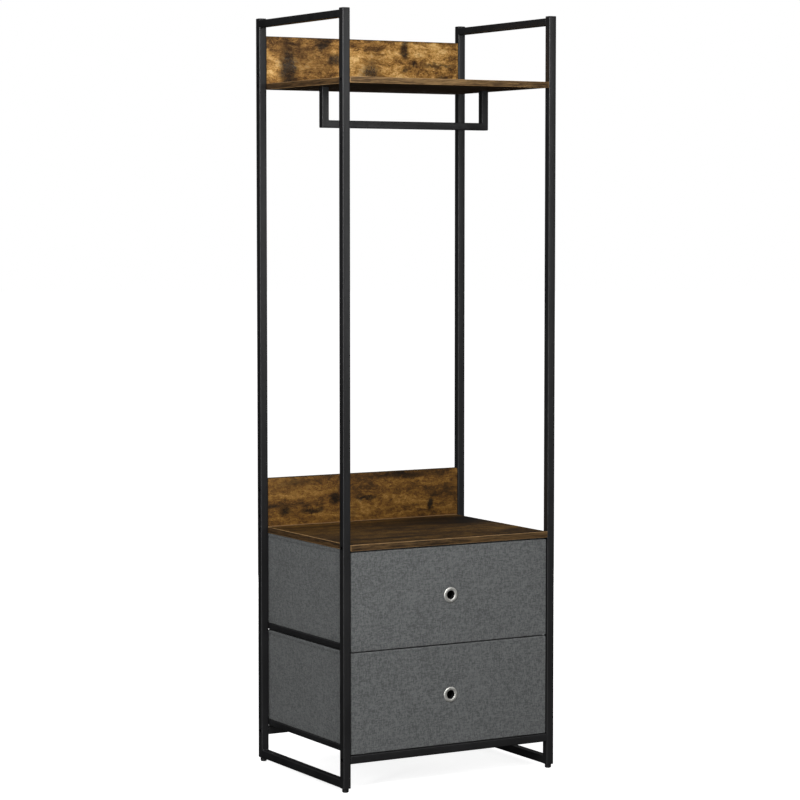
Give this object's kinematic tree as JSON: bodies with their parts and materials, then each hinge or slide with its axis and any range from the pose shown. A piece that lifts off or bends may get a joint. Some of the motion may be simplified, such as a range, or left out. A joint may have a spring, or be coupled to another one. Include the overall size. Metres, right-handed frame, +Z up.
{
  "type": "hall tree",
  "caption": "Tall open hall tree: square-tube steel frame, wood-look shelves with backboards, a hanging rail under the top shelf and fabric drawers with grommet pulls.",
  "frame": {"origin": "on the floor, under the middle of the frame's outer width and depth", "axes": "+Z up, +X along the width to the right as seen from the front, +Y towards the back (the front is -Y)"},
  "size_m": [0.6, 0.45, 1.8713],
  "materials": {
    "frame": "satin black powder coat",
    "plastic": "black moulded plastic, slight sheen",
    "shelf_board": "rustic brown wood-look laminate, dark clouds and fine grain",
    "back_board": "rustic golden brown wood-look laminate, dark clouds and fine grain",
    "drawer_fabric": "mid grey linen-look woven fabric",
    "drawer_base": "fabric-faced fibreboard, grey",
    "grommet": "bright nickel",
    "fastener": "black zinc plate"
  },
  "bodies": {
    "frame": {"post_front_left": "frame", "post_front_right": "frame", "post_rear_left": "frame", "post_rear_right": "frame", "side_bar_top_left": "frame", "side_bar_top_right": "frame", "side_bar_bottom_left": "frame", "side_bar_bottom_right": "frame", "runner_lower_left": "frame", "runner_lower_right": "frame", "runner_upper_left": "frame", "runner_upper_right": "frame", "bottom_rail_front": "frame", "bottom_rail_rear": "frame", "rail_drop_left": "frame", "rail_drop_right": "frame", "rail_bar": "frame", "post_cap_front_left": "plastic", "post_cap_front_right": "plastic", "post_cap_rear_left": "plastic", "post_cap_rear_right": "plastic", "foot_front_left": "plastic", "foot_front_right": "plastic", "foot_rear_left": "plastic", "foot_rear_right": "plastic", "top_shelf": "shelf_board", "lower_shelf": "shelf_board", "top_backboard": "back_board", "lower_backboard": "back_board", "bottom_rail_front_bolt_left": "fastener", "bottom_rail_front_bolt_right": "fastener", "bottom_rail_rear_bolt_left": "fastener", "bottom_rail_rear_bolt_right": "fastener", "rail_bolt_left": "fastener", "rail_bolt_right": "fastener", "top_shelf_bolt_left": "fastener", "top_shelf_bolt_right": "fastener", "top_backboard_low_bolt_left": "fastener", "top_backboard_mid_bolt_left": "fastener", "top_backboard_high_bolt_left": "fastener", "top_backboard_low_bolt_right": "fastener", "top_backboard_mid_bolt_right": "fastener", "top_backboard_high_bolt_right": "fastener", "lower_shelf_bolt_left": "fastener", "lower_shelf_bolt_right": "fastener", "lower_backboard_low_bolt_left": "fastener", "lower_backboard_mid_bolt_left": "fastener", "lower_backboard_high_bolt_left": "fastener", "lower_backboard_low_bolt_right": "fastener", "lower_backboard_mid_bolt_right": "fastener", "lower_backboard_high_bolt_right": "fastener"},
    "drawer_upper": {"drawer_upper_front": "drawer_fabric", "drawer_upper_box": "drawer_fabric", "drawer_upper_base": "drawer_base", "drawer_upper_grommet": "grommet"},
    "drawer_lower": {"drawer_lower_front": "drawer_fabric", "drawer_lower_box": "drawer_fabric", "drawer_lower_base": "drawer_base", "drawer_lower_grommet": "grommet"}
  },
  "joints": [
    {"name": "drawer_upper_slide", "type": "slide", "parent": "frame", "child": "drawer_upper", "axis": [0, -1, 0], "range_m": [0, 0.3]},
    {"name": "drawer_lower_slide", "type": "slide", "parent": "frame", "child": "drawer_lower", "axis": [0, -1, 0], "range_m": [0, 0.3]}
  ]
}
